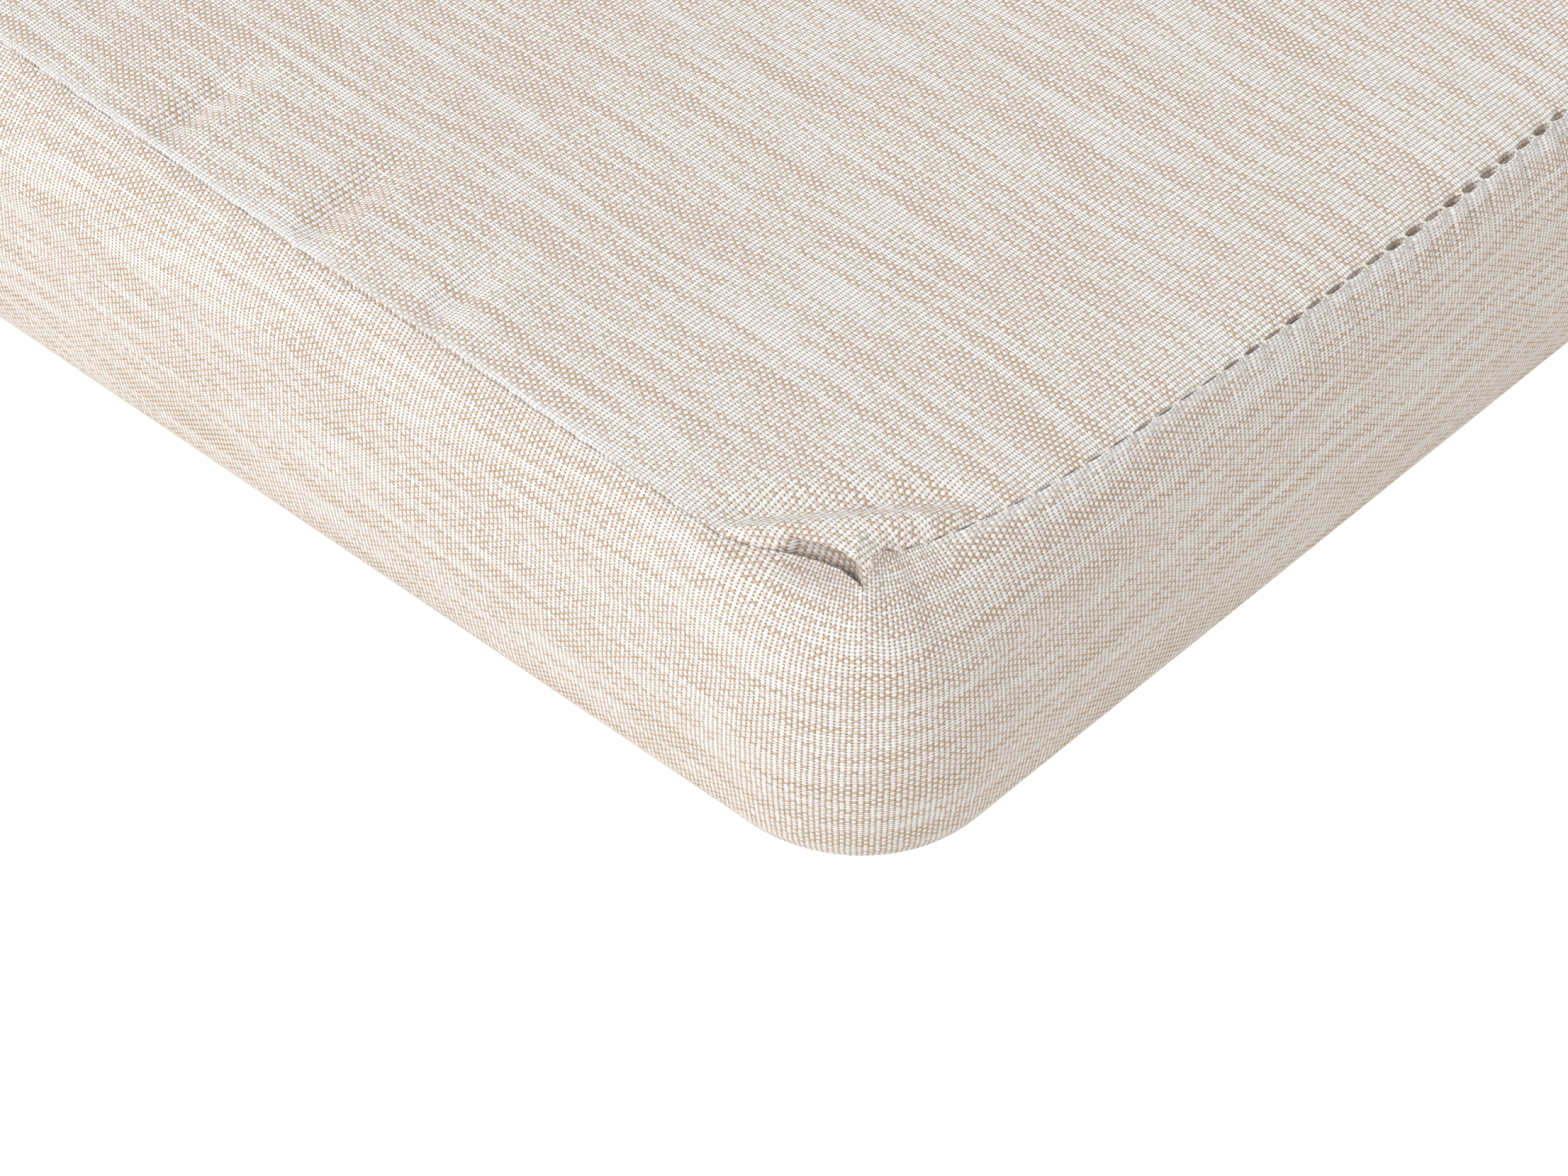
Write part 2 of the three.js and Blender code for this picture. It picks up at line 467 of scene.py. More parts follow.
def topRows(st, shape):
    # rows of the top panel from the bottom of the seam inwards
    gap, depth, roll = shape["gap"], shape["depth"], shape["roll"]
    strength, isLong = st["strength"], st["isLong"]
    seamA, seamB = pulledPlace(*flatPlace(st, 0 * gap), strength)
    seamLevel = edgeHeight(seamA, seamB, strength)
    hole = corner["hole"] * bell(st["along"], corner["holeAt"], corner["holeWidth"])
    # white yarns and a painted highlight along the top's raised edge on the long sides
    whiteYarnsAndHighlight = isLong * (1 - shape["pocket"]) * ramp(st["along"], *seam["sidePaleReach"])
    places, rows = [], []

    def addRow(inset, height, shade, wholeTop, pale=0.0):
        index = len(rows)
        inPocket = index < len(pocketRows["places"])
        share = 0 * gap
        if inPocket:
            pocketInset, pocketHeight = pocketRows["places"][index]
            share = shape["pocket"] * pocketRows["share"][index]
            inset = inset + share * (pocketInset - inset)
        a, b = pulledPlace(*flatPlace(st, np.maximum(inset, 0)), strength)
        point = toWorld(st, a, b, edgeHeight(a, b, strength))
        beyond = np.maximum(inset - gap - roll, 0)
        pucker = shape["drop"] * np.exp(-beyond / seam["puckerReach"])
        turned = shape["lift"] * np.exp(-(beyond / seam["sideLiftWidth"]) ** 2)
        fold = foldHeight(a, b, strength) * ramp(inset, *corner["foldStart"])
        crown = pad["crown"] * saturate(a, pad["crownReach"]) * saturate(b, pad["crownReach"])
        puff = pad["puff"] * saturate(beyond, pad["puffReach"])
        calm = saturate(np.minimum(a, b), pad["calmReach"])
        uneven = pad["waviness"] * slowWaves(point[:, 0], point[:, 1]) * calm
        if wholeTop:
            crown = crown + puff + uneven - troughDepth(point[:, 0], point[:, 1])
        lifted = shape["rise"] * ramp(inset, *corner["endRiseInside"])
        point[:, 2] += height + crown + fold + turned + lifted - pucker
        # painted shade of the seam and pocket, less the white yarns and painted highlight of the raised
        # edge
        shade = shade * shape["dark"] - pale * whiteYarnsAndHighlight
        if inPocket:
            level = seamLevel + pocketHeight - hole * pocketRows["deeper"][index]
            point[:, 2] += share * (level - point[:, 2])
            shade = shade + share * (pocketRows["shade"][index] - shade)
        places.append((a, b))
        rows.append({"points": point, "shade": shade})

    # each row's shade is painted shade, full at the bottom of the seam and fading up its turned edge
    wall = np.maximum(depth - roll, 0.02)
    addRow(0 * gap, -depth, 1.0, False)
    addRow(gap, -roll - 0.6 * wall, 0.7, False)
    for angle in (0, 30, 60, 90):
        turn = math.radians(angle)
        inset = gap + roll * (1 - math.cos(turn))
        shade = 0.4 * (1 - angle / 90) ** 1.5
        addRow(inset, -roll * (1 - math.sin(turn)), shade, False, seam["pale"] * angle / 90)
    share = ramp(st["along"], 22, 120)
    for near, far in zip(ringsNear, ringsFar):
        inset = gap * math.exp(-near / 6) + roll + near * (1 - share) + far * share
        addRow(inset, 0.0, 0.0, True, seam["pale"] * max(1 - near / 1.5, 0))

    roundCorners(st, rows, 2, 16)

    # the cloth's threads run straight in plan, and from this row on they follow the wall of the seam
    lastPlain = 9
    run = 0 * gap
    for index in range(len(rows) - 1, -1, -1):
        a, b = places[index]
        if index < lastPlain:
            beforeA, beforeB = places[index + 1]
            across = np.where(isLong, beforeB - b, beforeA - a)
            climb = rows[index + 1]["points"][:, 2] - rows[index]["points"][:, 2]
            run = run + np.hypot(across, climb)
            edgeA, edgeB = places[lastPlain]
            a, b = np.where(isLong, a, edgeA - run), np.where(isLong, edgeB - run, b)
        rows[index]["uv"] = toWorld(st, a, b, 0)[:, :2]
    return rows


def facePlace(st):
    # the band's face at each station: its place and the direction inwards
    radius = pad["cornerRadius"]
    arcHalf = radius * math.pi / 4
    shift = np.where(st["isLong"], pad["endSeamIn"], pad["sideSeamIn"]) + arcHalf - radius
    along = st["along"] + shift * np.minimum(st["along"] / pad["shiftReach"], 1)
    turn = np.clip(along / radius, 0, math.pi / 4)
    beyond = np.maximum(along - arcHalf, 0)
    near = radius - radius * np.cos(math.pi / 4 - turn)  # from the face of this station's own side
    far = radius - radius * np.sin(math.pi / 4 - turn) + beyond  # and from the other face
    inNear, inFar = np.cos(math.pi / 4 - turn), np.sin(math.pi / 4 - turn)
    u, w = np.where(st["isLong"], far, near), np.where(st["isLong"], near, far)
    inU, inW = np.where(st["isLong"], inFar, inNear), np.where(st["isLong"], inNear, inFar)
    w = w - sideBulge(u) * np.where(st["isLong"], 1.0, ramp(w, radius, 0))
    return u - pad["endSeamIn"], w - pad["sideSeamIn"], inU, inW


def fromCornerColumn(st, a, b):
    # length along the band from the middle of the nearest corner, for a point beside this station
    radius = pad["cornerRadius"]
    u, w = a + pad["endSeamIn"], b + pad["sideSeamIn"]
    ahead, beside = np.where(st["isLong"], u, w), np.where(st["isLong"], w, u)
    turn = np.arctan2(np.maximum(radius - ahead, 0), np.maximum(radius - beside, 1.0))
    return radius * (math.pi / 4 - turn) + np.maximum(ahead - radius, 0)


def bandRows(st, shape):
    # rows of the band from the bottom of the seam out, down and under
    seamA, seamB = pulledPlace(*flatPlace(st, 0 * shape["gap"]), st["strength"])
    faceA, faceB, inA, inB = facePlace(st)
    acrossA, acrossB = faceA - seamA, faceB - seamB
    width = np.hypot(acrossA, acrossB)
    acrossA, acrossB = acrossA / width, acrossB / width
    level = edgeHeight(seamA, seamB, st["strength"]) + shape["rise"]
    between = openness(st["phase"])
    gap, depth, roll = shape["gap"], shape["depth"], shape["roll"]
    signed = st["along"] * np.where(st["isLong"], -1, 1)
    # white yarns and a painted highlight along the band's lip at the ends
    whiteYarnsAndHighlight = seam["pale"] * (1 - st["isLong"]) * ramp(st["along"], *seam["endPaleReach"])
    rows, downs = [], []

    def addPoint(a, b, height, down, shade):
        place = st["begin"] + st["forward"] * fromCornerColumn(st, a, b)
        # painted shade of the seam, less the white yarns and painted highlight of the band's lip
        shade = shade * shape["dark"] - whiteYarnsAndHighlight * bell(down, 0.5, 0.8) * (1 - shade)
        rows.append({"points": toWorld(st, a, b, height), "uv": place, "shade": shade})
        downs.append(down)

    def addRow(out, height, down, shade):
        # out is measured from the seam across the shoulder
        beyond = np.maximum(out - gap - roll, 0)
        dimple = seam["bandPucker"] * (1 - between) * np.exp(-beyond / seam["bandPuckerReach"])
        valleyAt = corner["valleyAt"] - corner["valleyTurn"] * np.clip(down / 8, 0, 1)
        valley = corner["valley"] * bell(signed, valleyAt, corner["valleyWidth"])
        valley = valley * ramp(down, -0.6, 1.5) * ramp(down, 9, 4)
        ridge = corner["ridge"] * bell(signed, -0.5, corner["ridgeWidth"])
        ridge = ridge * ramp(down, 0, 2) * ramp(down, 7, 3)
        inwards = 0.7 * (st["strength"] * (valley - ridge))  # as far inwards as down
        a = seamA + acrossA * (out - inwards)
        b = seamB + acrossB * (out - inwards)
        addPoint(a, b, level + height - dimple - inwards, down, shade)

    def addFaceRow(inset, height, down):
        addPoint(faceA + inA * inset, faceB + inB * inset, height + 0 * gap, down, 0.0)

    # each row's shade is painted shade, full at the bottom of the seam and fading up the band's turned edge
    wall = np.maximum(depth - roll, 0.02)
    arc = roll * math.pi / 2
    addRow(0 * gap, -depth, -arc - wall, 1.0)
    addRow(gap, -roll - 0.6 * wall, -arc - 0.6 * wall, 0.8)
    for angle in (0, 30, 60, 90):
        turn = math.radians(angle)
        out = gap + roll * (1 - math.cos(turn))
        shade = 0.4 * (1 - angle / 90) ** 1.5
        addRow(out, -roll * (1 - math.sin(turn)), -roll * (math.pi / 2 - turn), shade)
    reach = width - gap - roll
    down = 0 * gap
    last = (gap + roll, 0 * gap)
    for share in shoulderShares:
        out = gap + roll + reach * (1 - (1 - share) ** pad["shoulderPower"])
        height = -pad["shoulderDrop"] * share + 0 * gap
        down = down + np.hypot(out - last[0], height - last[1])
        last = (out, height)
        # painted shade on the band's first rows under a long side's seam
        addRow(out, height, down, seam["sideShadow"] * st["isLong"] * ramp(share, 0.2, 0.05))
    foot = level - pad["shoulderDrop"]
    for step in range(1, faceSteps + 1):
        share = step / faceSteps
        height = foot + (pad["baseRound"] - foot) * share
        addFaceRow(-pad["belly"] * np.sin(np.pi * share), height, down + (foot - height))
    down = down + foot - pad["baseRound"]
    for angle in (18, 36, 54, 72, 90):
        turn = math.radians(angle)
        inset = pad["baseRound"] * (1 - math.cos(turn))
        addFaceRow(inset, pad["baseRound"] * (1 - math.sin(turn)), down + pad["baseRound"] * turn)
    down = down + pad["baseRound"] * math.pi / 2
    for further, height in ((1.4, 0.0), (1.9, 0.25), (2.2, pad["baseGroove"])):
        addFaceRow(pad["baseRound"] + further, height, down + further + height)
    for row, depthDown in zip(rows, downs):
        row["uv"] = np.stack([row["uv"], down - depthDown], -1)
    roundCorners(st, rows, 4, 14)
    return rows


def undersideRows(st):
    # rows of the underside from its seam inwards
    faceA, faceB, inA, inB = facePlace(st)
    rows = []
    for further, height in ((0, pad["baseGroove"]), (0.3, 0.25), (0.8, 0.0), (3.0, 0.0), (9.0, 0.0)):
        inset = pad["baseSeamIn"] + further + 0 * faceA
        point = toWorld(st, faceA + inA * inset, faceB + inB * inset, height)
        rows.append({"points": point, "uv": point[:, :2].copy(), "shade": 0 * faceA})
    return rows


def everyOther(row):
    return {name: values[::2] for name, values in row.items()}


def addObject(name, data):
    added = bpy.data.objects.new(name, data)
    bpy.context.scene.collection.objects.link(added)
    return added


def addSmooth(mesh, materials):
    # a smooth-shaded object of this mesh, with these materials
    for material in materials:
        mesh.materials.append(material)
    mesh.polygons.foreach_set("use_smooth", [True] * len(mesh.polygons))
    mesh.update()
    return addObject(mesh.name, mesh)


class MeshParts:
    # gathers rows of points and the faces between them, with a cloth coordinate for each corner
    def __init__(self):
        self.points, self.shades = [], []
        self.faces, self.uvs, self.looks = [], [], []
        self.count = 0

    def addRow(self, row):
        first = self.count
        self.points.append(row["points"])
        self.shades.append(row["shade"])
        self.count += len(row["points"])
        return {"first": first, "size": len(row["points"]), "uv": row["uv"]}

    def join(self, outer, inner, look, wrap, flip):
        # outer has as many points as inner, or twice as many.
        # wrap is added to the cloth coordinate where a row closes on itself.
        ratio = outer["size"] // inner["size"]

        def corners(row, first, count):
            # numbers and cloth coordinates of the row's points from this place on
            places = [(first + step) % row["size"] for step in range(count)]
            uvs = [row["uv"][place] for place in places]
            if places[-1] == 0:
                uvs[-1] = uvs[-1] + wrap
            return list(zip([row["first"] + place for place in places], uvs))

        for k in range(inner["size"]):
            near, far = corners(inner, k, 2)
            out = corners(outer, ratio * k, ratio + 1)
            if ratio == 1:
                self.addFace([*out, far, near], look, flip)
            else:
                self.addFace([out[0], out[1], near], look, flip)
                self.addFace([out[1], far, near], look, flip)
                self.addFace([out[1], out[2], far], look, flip)

    def addFace(self, corners, look, flip):
        # each corner is a point's number and its cloth coordinate
        points, uvs = zip(*(corners[::-1] if flip else corners))
        self.faces.append(points)
        self.uvs.extend(uvs)
        self.looks.append(look)

    def addCap(self, row, look, flip):
        numbers = range(row["first"], row["first"] + row["size"])
        self.addFace(list(zip(numbers, row["uv"])), look, flip)

    def build(self, name, materials):
        mesh = bpy.data.meshes.new(name)
        mesh.from_pydata(np.concatenate(self.points) * mm, [], self.faces)
        cloth = mesh.uv_layers.new(name="cloth")
        cloth.data.foreach_set("uv", (np.array(self.uvs) * mm).ravel())
        # seamShade is the painted shade of the seam, the pocket and the band's first rows; below zero it
        # paints the raised edge white and lit
        shade = mesh.attributes.new("seamShade", "FLOAT", "POINT")
        shade.data.foreach_set("value", np.concatenate(self.shades))
        mesh.polygons.foreach_set("material_index", self.looks)
        return addSmooth(mesh, materials)


def makeCushion(materials):
    st = makeStations()
    shape = seamShape(st)
    top, band, under = topRows(st, shape), bandRows(st, shape), undersideRows(st)
    parts = MeshParts()
    wrap = np.array([2 * stripLength(True) + 2 * stripLength(False), 0.0])
    noWrap = np.zeros(2)

    def thinned(rows, halved):
        # from these rows on, every other column is left out
        for at in halved:
            rows[at:] = [everyOther(row) for row in rows[at:]]
        return rows

    entries = [parts.addRow(row) for row in thinned(band, (8, 17))]
    for outer, inner in zip(entries[:-1], entries[1:]):
        parts.join(outer, inner, 1, wrap, True)

    # the underside shares the last row of the band
    quarter = [everyOther(everyOther(row)) for row in under]
    before = dict(entries[-1], uv=quarter[0]["uv"])
    for row in quarter[1:]:
        entry = parts.addRow(row)
        parts.join(before, entry, 0, noWrap, True)
        before = entry
    parts.addCap(before, 0, True)

    # and the top panel shares the first
    before = dict(entries[0], uv=top[0]["uv"])
    for row in thinned(top, (13, 20))[1:]:
        entry = parts.addRow(row)
        parts.join(before, entry, 0, noWrap, False)
        before = entry
    parts.addCap(before, 0, False)
    return parts.build("cushion_cover", materials), st, shape


def addMath(tree, operation, *values):
    node = tree.nodes.new("ShaderNodeMath")
    node.operation = operation
    for socket, value in zip(node.inputs, values):
        if isinstance(value, (int, float)):
            socket.default_value = value
        else:
            tree.links.new(value, socket)
    return node.outputs[0]


def addMix(tree, share, first, second):
    node = tree.nodes.new("ShaderNodeMix")
    node.data_type = "RGBA"
    for socket, value in zip((node.inputs[0], node.inputs[6], node.inputs[7]), (share, first, second)):
        if isinstance(value, (int, float, tuple)):
            socket.default_value = value
        else:
            tree.links.new(value, socket)
    return node.outputs[2]


def addNoise(tree, x, y, detail=0.0):
    # smooth noise about 0, from two coordinates
    where = tree.nodes.new("ShaderNodeCombineXYZ")
    for socket, value in zip(where.inputs, (x, y)):
        tree.links.new(value, socket)
    node = tree.nodes.new("ShaderNodeTexNoise")
    node.noise_dimensions = "2D"
    node.inputs["Scale"].default_value = 1.0
    node.inputs["Detail"].default_value = detail
    tree.links.new(where.outputs[0], node.inputs["Vector"])
    return addMath(tree, "SUBTRACT", node.outputs["Fac"], 0.5)


def addRandom(tree, x, y=None):
    # one random number from 0 to 1 for each whole x, or each pair of x and y
    node = tree.nodes.new("ShaderNodeTexWhiteNoise")
    if y is None:
        node.noise_dimensions = "1D"
        tree.links.new(x, node.inputs["W"])
    else:
        node.noise_dimensions = "2D"
        where = tree.nodes.new("ShaderNodeCombineXYZ")
        tree.links.new(x, where.inputs[0])
        tree.links.new(y, where.inputs[1])
        tree.links.new(where.outputs[0], node.inputs["Vector"])
    return node.outputs["Value"]


weave = {  # millimetres, and shares of a yarn's own pitch
    "columnPitch": 0.78,
    "rowPitch": 0.49,
    "crossHalf": 0.41,
    "slubHalf": 0.44,
    "lift": 0.085,  # each yarn rises and falls this much
    "crossRound": 0.13,
    "slubRound": 0.10,
    "taper": 1.1,  # a yarn narrows where it dives under the next one
    "softness": 0.05,
    "slubSwell": 0.08,  # a pale slub is this much thicker than a dark one
    "wander": 0.21,  # the yarns wander this far from side to side, over a few cells
    "wanderScale": 0.45,
    "bow": 2.0,  # and the rows bow this far over many
    "bowScale": 0.03,
    "streakLength": 21.0,
    "streakTone": 1.9,
    "bandLength": 34.0,
    "bandWidth": 1.7,
    "bandTone": 2.3,
    "singleTone": 0.7,  # each cell by itself
    "dull": 0.65,  # some cross yarns are nearly as dull as the pale slub
    "gapShadeHeights": (0.12, -0.05),  # painted shade between the yarns: from the first height down, the gap's shade colour takes over
    "deepest": -0.12,  # height between the yarns
    # painted shade of the seam: how strongly it shows, and its colour
    "seamShade": 0.75,
    "seamShadeColor": (0.21, 0.14, 0.09),
}


def makeWeaveGroup():
    # plain weave of white cross yarns and streaky slub yarns, from the cloth's own coordinates
    group = bpy.data.node_groups.new("slubWeave", "ShaderNodeTree")
    sockets = group.interface
    sockets.new_socket("Cloth", in_out="INPUT", socket_type="NodeSocketVector")
    for name in ("Cross Yarn", "Pale Slub", "Dark Slub", "Gap Shade"):
        sockets.new_socket(name, in_out="INPUT", socket_type="NodeSocketColor")
    for name in ("Streaks", "Seam Shade"):
        sockets.new_socket(name, in_out="INPUT", socket_type="NodeSocketFloat")
    sockets.new_socket("Color", in_out="OUTPUT", socket_type="NodeSocketColor")
    sockets.new_socket("Height", in_out="OUTPUT", socket_type="NodeSocketFloat")
    given = group.nodes.new("NodeGroupInput").outputs
    split = group.nodes.new("ShaderNodeSeparateXYZ")
    group.links.new(given["Cloth"], split.inputs[0])

    def calc(operation, *values):
        return addMath(group, operation, *values)

    alongMm = calc("MULTIPLY", split.outputs[0], 1000.0)
    acrossMm = calc("MULTIPLY", split.outputs[1], 1000.0)

    # the yarns wander a little, each kind by a pattern of its own
    scale = weave["wanderScale"]
    fineX, fineY = calc("MULTIPLY", alongMm, scale), calc("MULTIPLY", acrossMm, scale)
    wanderOne = addNoise(group, fineX, fineY, 1.0)
    wanderTwo = addNoise(group, calc("ADD", fineY, 50.0), fineX, 1.0)
    scale = weave["bowScale"]
    bow = addNoise(group, calc("MULTIPLY", alongMm, scale), calc("MULTIPLY", acrossMm, scale))
    along = calc("ADD", alongMm, calc("MULTIPLY", wanderOne, weave["wander"]))
    across = calc("ADD", acrossMm, calc("MULTIPLY", wanderTwo, weave["wander"]))
    across = calc("ADD", across, calc("MULTIPLY", bow, weave["bow"]))

    u = calc("DIVIDE", along, weave["columnPitch"])
    v = calc("DIVIDE", across, weave["rowPitch"])
    column, row = calc("FLOOR", u), calc("FLOOR", v)
    fromCross = calc("SUBTRACT", calc("FRACT", u), 0.5)
    fromSlub = calc("SUBTRACT", calc("FRACT", v), 0.5)
    odd = calc("FLOORED_MODULO", calc("ADD", column, row), 2.0)
    side = calc("SUBTRACT", 1.0, calc("MULTIPLY", odd, 2.0))

    def yarn(offset, half, roundness, swing, sign):
        # height of a yarn: its own round section, and over and under the other yarns
        narrow = calc("SUBTRACT", 1.0, calc("MULTIPLY", calc("MULTIPLY", swing, swing), weave["taper"]))
        ratio = calc("DIVIDE", offset, calc("MULTIPLY", half, narrow))
        section = calc("MAXIMUM", calc("SUBTRACT", 1.0, calc("MULTIPLY", ratio, ratio)), 0.0)
        wave = calc("MULTIPLY", calc("COSINE", calc("MULTIPLY", swing, math.pi)), side)
        height = calc("ADD", calc("MULTIPLY", calc("SQRT", section), roundness),
                      calc("MULTIPLY", wave, sign * weave["lift"]))
        gone = calc("LESS_THAN", section, 0.0001)
        return calc("SUBTRACT", height, gone)

    # a slub yarn is thick and pale in places, thin and dark in others, and each has streaks of its own
    rowStart = calc("MULTIPLY", addRandom(group, row), 61.0)
    streakAt = calc("ADD", calc("DIVIDE", alongMm, weave["streakLength"]), rowStart)
    streak = addNoise(group, streakAt, calc("MULTIPLY", row, 3.7), 1.0)
    band = addNoise(group, calc("DIVIDE", alongMm, weave["bandLength"]),
                    calc("DIVIDE", across, weave["bandWidth"]), 2.0)
    single = calc("SUBTRACT", addRandom(group, column, row), 0.5)
    streak = calc("MULTIPLY", streak, weave["streakTone"])
    tone = calc("ADD", streak, calc("MULTIPLY", band, weave["bandTone"]))
    tone = calc("MULTIPLY", tone, given["Streaks"])
    tone = calc("ADD", tone, calc("MULTIPLY", single, weave["singleTone"]))
    tone = calc("ADD", tone, 0.5)
    clamp = group.nodes.new("ShaderNodeClamp")
    group.links.new(tone, clamp.inputs["Value"])
    tone = clamp.outputs[0]

    thinnest = weave["slubHalf"] - weave["slubSwell"] / 2
    slubHalf = calc("ADD", thinnest, calc("MULTIPLY", tone, weave["slubSwell"]))
    cross = yarn(fromCross, weave["crossHalf"], weave["crossRound"], fromSlub, 1.0)
    slub = yarn(fromSlub, slubHalf, weave["slubRound"], fromCross, -1.0)
    height = calc("MAXIMUM", calc("MAXIMUM", cross, slub), weave["deepest"])

    slubColor = addMix(group, tone, given["Dark Slub"], given["Pale Slub"])
    crossOnTop = calc("ADD", calc("DIVIDE", calc("SUBTRACT", cross, slub), weave["softness"]), 0.5)
    crossOnTop = calc("MINIMUM", calc("MAXIMUM", crossOnTop, 0.0), 1.0)
    dull = calc("MULTIPLY", addRandom(group, calc("ADD", column, 0.5), row), weave["dull"])
    crossColor = addMix(group, dull, given["Cross Yarn"], given["Pale Slub"])
    color = addMix(group, crossOnTop, slubColor, crossColor)
    # painted shade between the yarns, where the cloth lies lowest
    deep = group.nodes.new("ShaderNodeMapRange")
    deep.interpolation_type = "SMOOTHSTEP"
    deep.inputs["From Min"].default_value, deep.inputs["From Max"].default_value = weave["gapShadeHeights"]
    group.links.new(height, deep.inputs["Value"])
    color = addMix(group, deep.outputs[0], color, given["Gap Shade"])
    # a positive shade is painted shade in the seam, a negative one the white yarns and painted highlight of
    # a raised edge
    darken = calc("MULTIPLY", given["Seam Shade"], weave["seamShade"])
    color = addMix(group, darken, color, (*weave["seamShadeColor"], 1.0))
    color = addMix(group, calc("MULTIPLY", given["Seam Shade"], -1.0), color, given["Cross Yarn"])

    out = group.nodes.new("NodeGroupOutput")
    group.links.new(color, out.inputs["Color"])
    group.links.new(height, out.inputs["Height"])
    return group


slubWeave = makeWeaveGroup()


def makePlainMaterial(name, color, roughness=0.9):
    material = bpy.data.materials.new(name)
    material.use_nodes = True
    shader = material.node_tree.nodes["Principled BSDF"]
    shader.inputs["Base Color"].default_value = (*color, 1)
    shader.inputs["Roughness"].default_value = roughness
    return material


canvas = {  # the same cloth on top and band; on the band its slubs are a little paler and the painted shade between the yarns deeper
    "cross": (0.915, 0.915, 0.92),
    "dark": (0.63, 0.46, 0.32),
    "roughness": 0.85,
    "specular": 0.3,
    "sheen": 0.1,
    "sheenRoughness": 0.5,
    # gap is the colour of the painted shade between the yarns
    "top": {"pale": (0.865, 0.83, 0.79), "gap": (0.39, 0.29, 0.205), "streaks": 1.0, "bump": 0.95},
    "band": {"pale": (0.89, 0.855, 0.82), "gap": (0.36, 0.265, 0.19), "streaks": 0.85, "bump": 1.0},
}


def makeCanvas(name, own):
    material = makePlainMaterial(name, (0.7, 0.65, 0.6), canvas["roughness"])
    tree = material.node_tree
    shader = tree.nodes["Principled BSDF"]
    shader.inputs["Specular IOR Level"].default_value = canvas["specular"]
    shader.inputs["Sheen Weight"].default_value = canvas["sheen"]
    shader.inputs["Sheen Roughness"].default_value = canvas["sheenRoughness"]
    cloth = tree.nodes.new("ShaderNodeUVMap")
    cloth.uv_map = "cloth"
    seamShade = tree.nodes.new("ShaderNodeAttribute")
    seamShade.attribute_name = "seamShade"
    weaving = tree.nodes.new("ShaderNodeGroup")
    weaving.node_tree = slubWeave
    tree.links.new(cloth.outputs[0], weaving.inputs["Cloth"])
    tree.links.new(seamShade.outputs["Fac"], weaving.inputs["Seam Shade"])
    colors = {"Cross Yarn": canvas["cross"], "Pale Slub": own["pale"], "Dark Slub": canvas["dark"],
              "Gap Shade": own["gap"]}
    for socket, color in colors.items():
        weaving.inputs[socket].default_value = (*color, 1)
    weaving.inputs["Streaks"].default_value = own["streaks"]
    bump = tree.nodes.new("ShaderNodeBump")
    bump.inputs["Distance"].default_value = mm
    bump.inputs["Strength"].default_value = own["bump"]
    tree.links.new(weaving.outputs["Height"], bump.inputs["Height"])
    tree.links.new(weaving.outputs["Color"], shader.inputs["Base Color"])
    tree.links.new(bump.outputs[0], shader.inputs["Normal"])
    return material


topCanvas = makeCanvas("topCanvas", canvas["top"])
bandCanvas = makeCanvas("bandCanvas", canvas["band"])

# One stitch leads from the top panel out over the seam: distances from the seam and heights, in millimetres
thread = {
    "path": [(-0.75, -0.35), (-0.4, -0.03), (0.0, 0.14), (0.35, -0.02), (0.62, -0.7)],
    "radius": 0.19,
    "flat": 1.35,  # a stitch is this much wider than it is thick
    "sides": 6,
    "from": 3.0,  # no stitches show nearer to the corner's point than this
    "roughness": 0.7,
    "pale": (0.84, 0.82, 0.79),
    "dark": (0.66, 0.60, 0.53),
    "twist": 650.0,  # turns of the two plies, for each metre
    "unevenTwist": 1.5,
    "fuzz": 1500.0,
    "contrast": 1.6,
    "bump": 0.04,
}


def makeStitches(stations, shape, material):
    # one short bar across the seam at each stitch of the short ends
    shown = ~stations["isLong"] & (stations["along"] > thread["from"])
    at = np.flatnonzero((stations["phase"] == 0) & shown)
    st = {name: values[at] for name, values in stations.items()}
    drop, lift, rise = (shape[name][at] for name in ("drop", "lift", "rise"))
    seamA, seamB = pulledPlace(*flatPlace(st, 0 * drop), st["strength"])
    faceA, faceB, _, _ = facePlace(st)
    acrossA, acrossB = faceA - seamA, faceB - seamB
    width = np.hypot(acrossA, acrossB)
    level = edgeHeight(seamA, seamB, st["strength"]) + rise
    path = []
    for out, height in thread["path"]:
        onTop = 1.0 - ramp(out, -0.4, 0.4)
        place = level + height - drop * onTop + lift * onTop
        path.append(toWorld(st, seamA + acrossA / width * out, seamB + acrossB / width * out, place))
    path = np.array(path)
    sides = thread["sides"]
    points, faces = [], []
    for k in range(len(at)):
        first = len(points)
        middle = path[:, k]
        forward = middle[-1] - middle[0]
        sideways = np.array([-forward[1], forward[0], 0.0]) / math.hypot(forward[0], forward[1])
        for ring, place in enumerate(middle):
            ahead = middle[min(ring + 1, len(middle) - 1)] - middle[max(ring - 1, 0)]
            up = np.cross(ahead / np.linalg.norm(ahead), sideways)
            for side in range(sides):
                turn = math.tau * side / sides
                outward = thread["flat"] * math.cos(turn) * sideways + math.sin(turn) * up
                points.append(place + thread["radius"] * outward)
        for ring in range(len(middle) - 1):
            for side in range(sides):
                a, b = first + ring * sides + side, first + ring * sides + (side + 1) % sides
                faces.append((a, b, b + sides, a + sides))
        faces.append(tuple(range(first, first + sides))[::-1])
        last = first + (len(middle) - 1) * sides
        faces.append(tuple(range(last, last + sides)))
    mesh = bpy.data.meshes.new("seam_stitches")
    mesh.from_pydata(np.array(points) * mm, [], faces)
    return addSmooth(mesh, [material])


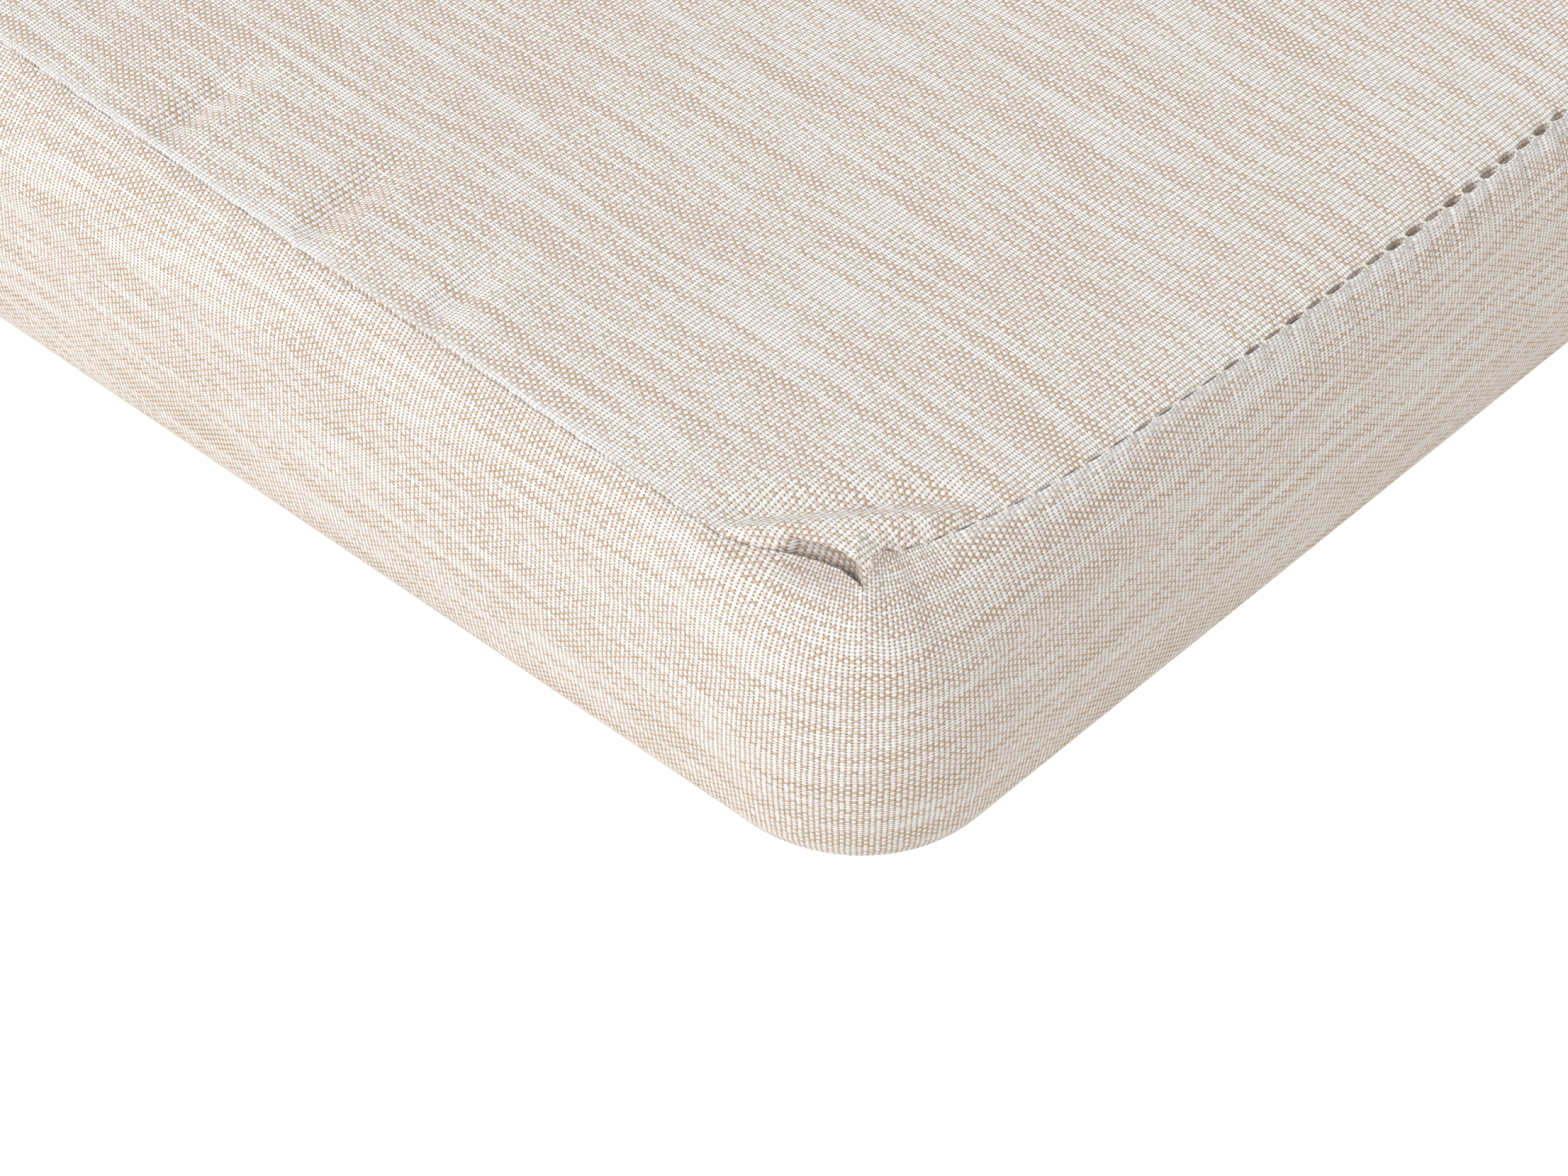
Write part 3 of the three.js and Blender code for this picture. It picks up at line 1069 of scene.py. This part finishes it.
def makeThreadMaterial():
    # two twisted plies, a little fuzzy
    material = makePlainMaterial("twistedThread", thread["pale"], thread["roughness"])
    tree = material.node_tree
    shader = tree.nodes["Principled BSDF"]
    place = tree.nodes.new("ShaderNodeTexCoord")
    plies = tree.nodes.new("ShaderNodeTexWave")
    plies.bands_direction = "DIAGONAL"
    plies.inputs["Scale"].default_value = 2 * thread["twist"] * math.tau / 10  # 1 is 10 radians to a metre
    plies.inputs["Distortion"].default_value = thread["unevenTwist"]
    fuzz = tree.nodes.new("ShaderNodeTexNoise")
    fuzz.inputs["Scale"].default_value = thread["fuzz"]
    for texture in (plies, fuzz):
        tree.links.new(place.outputs["Object"], texture.inputs["Vector"])
    tone = addMath(tree, "MULTIPLY", plies.outputs["Fac"], fuzz.outputs["Fac"])
    tone = addMath(tree, "MULTIPLY", tone, thread["contrast"])
    color = addMix(tree, tone, (*thread["dark"], 1), (*thread["pale"], 1))
    tree.links.new(color, shader.inputs["Base Color"])
    bump = tree.nodes.new("ShaderNodeBump")
    bump.inputs["Distance"].default_value = thread["bump"] * mm
    tree.links.new(plies.outputs["Fac"], bump.inputs["Height"])
    tree.links.new(bump.outputs[0], shader.inputs["Normal"])
    return material


def countTriangles(piece):
    return sum(len(face.vertices) - 2 for face in piece.data.polygons)


cushion, stations, shape = makeCushion([topCanvas, bandCanvas])
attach(cushion, "root")
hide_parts("cushion_pad")
print("cushion made:", countTriangles(cushion), "triangles")

stitches = makeStitches(stations, shape, makeThreadMaterial())
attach(stitches, "root")
print("stitches made:", countTriangles(stitches), "triangles")

light = {
    "sky": 0.83,
    "sun": 1.42,
    "sunAngle": 40.0,
    "azimuth": -18.0,  # the sun stands in front of the long side, turned a little away from the end
    "elevation": 33.0,
    "floorColor": (0.4, 0.38, 0.35),
    "floorTint": (1.0, 0.95, 0.87),
    "floorGlow": 0.5,  # the pale floor throws this much light up at the band
    "floorWhite": 1.2,  # and looks this much brighter, so that it shows white
    "floorHalf": 30.0,  # half the floor's width, and its depth below the cushion, in metres
    "floorBelow": 0.0003,
}


def makeFloor():
    mesh = bpy.data.meshes.new("studio_floor")
    half = light["floorHalf"]
    corners = [(x * half, y * half, -light["floorBelow"]) for x, y in ((-1, -1), (1, -1), (1, 1), (-1, 1))]
    mesh.from_pydata(corners, [], [(0, 1, 2, 3)])
    floor = addObject("studio_floor", mesh)
    material = makePlainMaterial("paleFloor", light["floorColor"])
    tree = material.node_tree
    shader = tree.nodes["Principled BSDF"]
    shader.inputs["Emission Color"].default_value = (*light["floorTint"], 1)
    seen = tree.nodes.new("ShaderNodeLightPath").outputs["Is Camera Ray"]
    glow = addMath(tree, "MULTIPLY_ADD", seen, light["floorWhite"], light["floorGlow"])
    tree.links.new(glow, shader.inputs["Emission Strength"])
    mesh.materials.append(material)


makeFloor()


def aim(thing, degrees):
    # points a lamp or camera back at the cushion, from this azimuth and elevation
    azimuth, elevation = math.radians(degrees["azimuth"]), math.radians(degrees["elevation"])
    across = math.cos(elevation)
    back = Vector((math.sin(azimuth) * across, -math.cos(azimuth) * across, math.sin(elevation)))
    thing.rotation_mode = "QUATERNION"
    thing.rotation_quaternion = back.to_track_quat("Z", "Y")


def makeLight():
    world = bpy.data.worlds.new("studioWorld")
    world.use_nodes = True
    background = world.node_tree.nodes["Background"]
    background.inputs["Color"].default_value = (1, 1, 1, 1)
    background.inputs["Strength"].default_value = light["sky"]
    bpy.context.scene.world = world
    lamp = bpy.data.lights.new("softSun", "SUN")
    lamp.energy = light["sun"]
    lamp.angle = math.radians(light["sunAngle"])
    aim(addObject("softSun", lamp), light)


makeLight()

view = {  # worked out from the photo's perspective lines
    "lens": 80.17,
    "sensor": 36.0,
    "azimuth": 44.44,
    "elevation": 45.34,
    "fromEnd": 192.5,  # the camera stands this far beyond the end's face, in millimetres
    "fromSide": 211.6,
    "height": 352.888,
}


def makeCamera():
    data = bpy.data.cameras.new("camera")
    data.lens = view["lens"]
    data.sensor_width = view["sensor"]
    data.clip_start = 10 * mm
    camera = addObject("camera", data)
    place = Vector((pad["endFace"] + view["fromEnd"], -pad["sideFace"] - view["fromSide"], view["height"]))
    camera.location = place * mm
    aim(camera, view)
    bpy.context.scene.camera = camera


makeCamera()
bpy.context.scene.view_settings.view_transform = "Standard"
print("stage, light and camera made")
